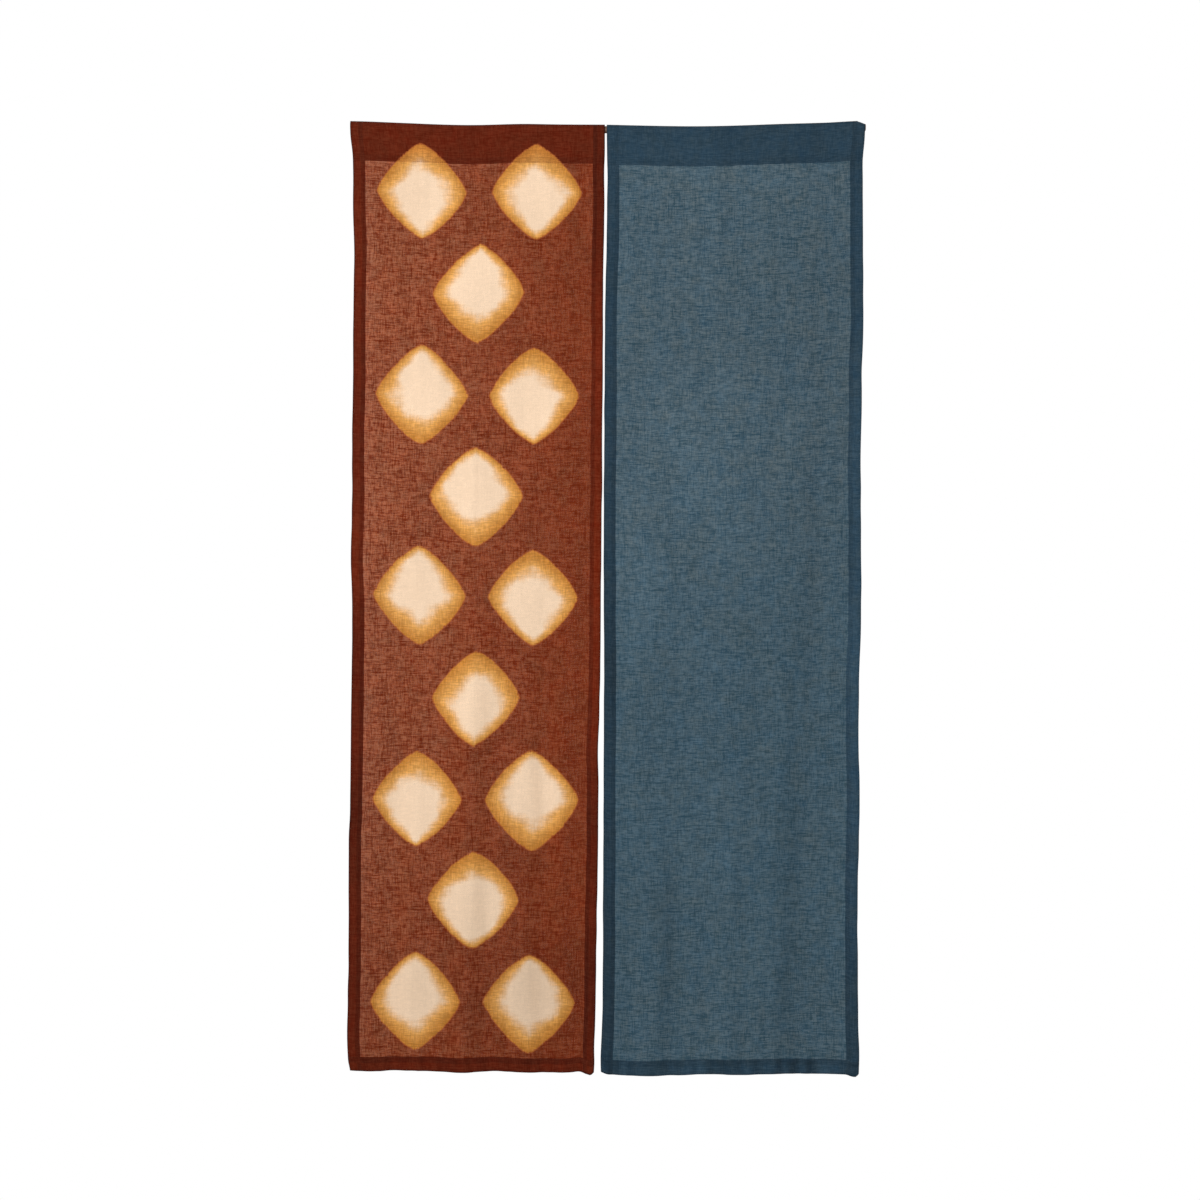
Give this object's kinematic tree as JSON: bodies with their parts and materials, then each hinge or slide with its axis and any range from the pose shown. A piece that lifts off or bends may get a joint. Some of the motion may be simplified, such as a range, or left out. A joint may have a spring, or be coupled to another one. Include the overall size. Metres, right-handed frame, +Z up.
{
  "type": "noren curtain on its rod",
  "caption": "Split doorway curtain: sheer linen panels with hems and a sewn heading, hung side by side on a thin wooden rod.",
  "frame": {"origin": "on the rod's axis, halfway along it", "axes": "+Z up, +X along the rod to the right as seen from the front, and the cloth's front faces -Y"},
  "size_m": [0.8069, 0.0195, 1.4873],
  "materials": {
    "rust_linen": "sheer plain-woven linen, matte",
    "indigo_linen": "sheer plain-woven linen, matte",
    "rod_wood": "dark oiled wood, satin"
  },
  "bodies": {
    "root": {"panel_left": "rust_linen", "panel_right": "indigo_linen", "rod": "rod_wood"}
  },
  "joints": []
}
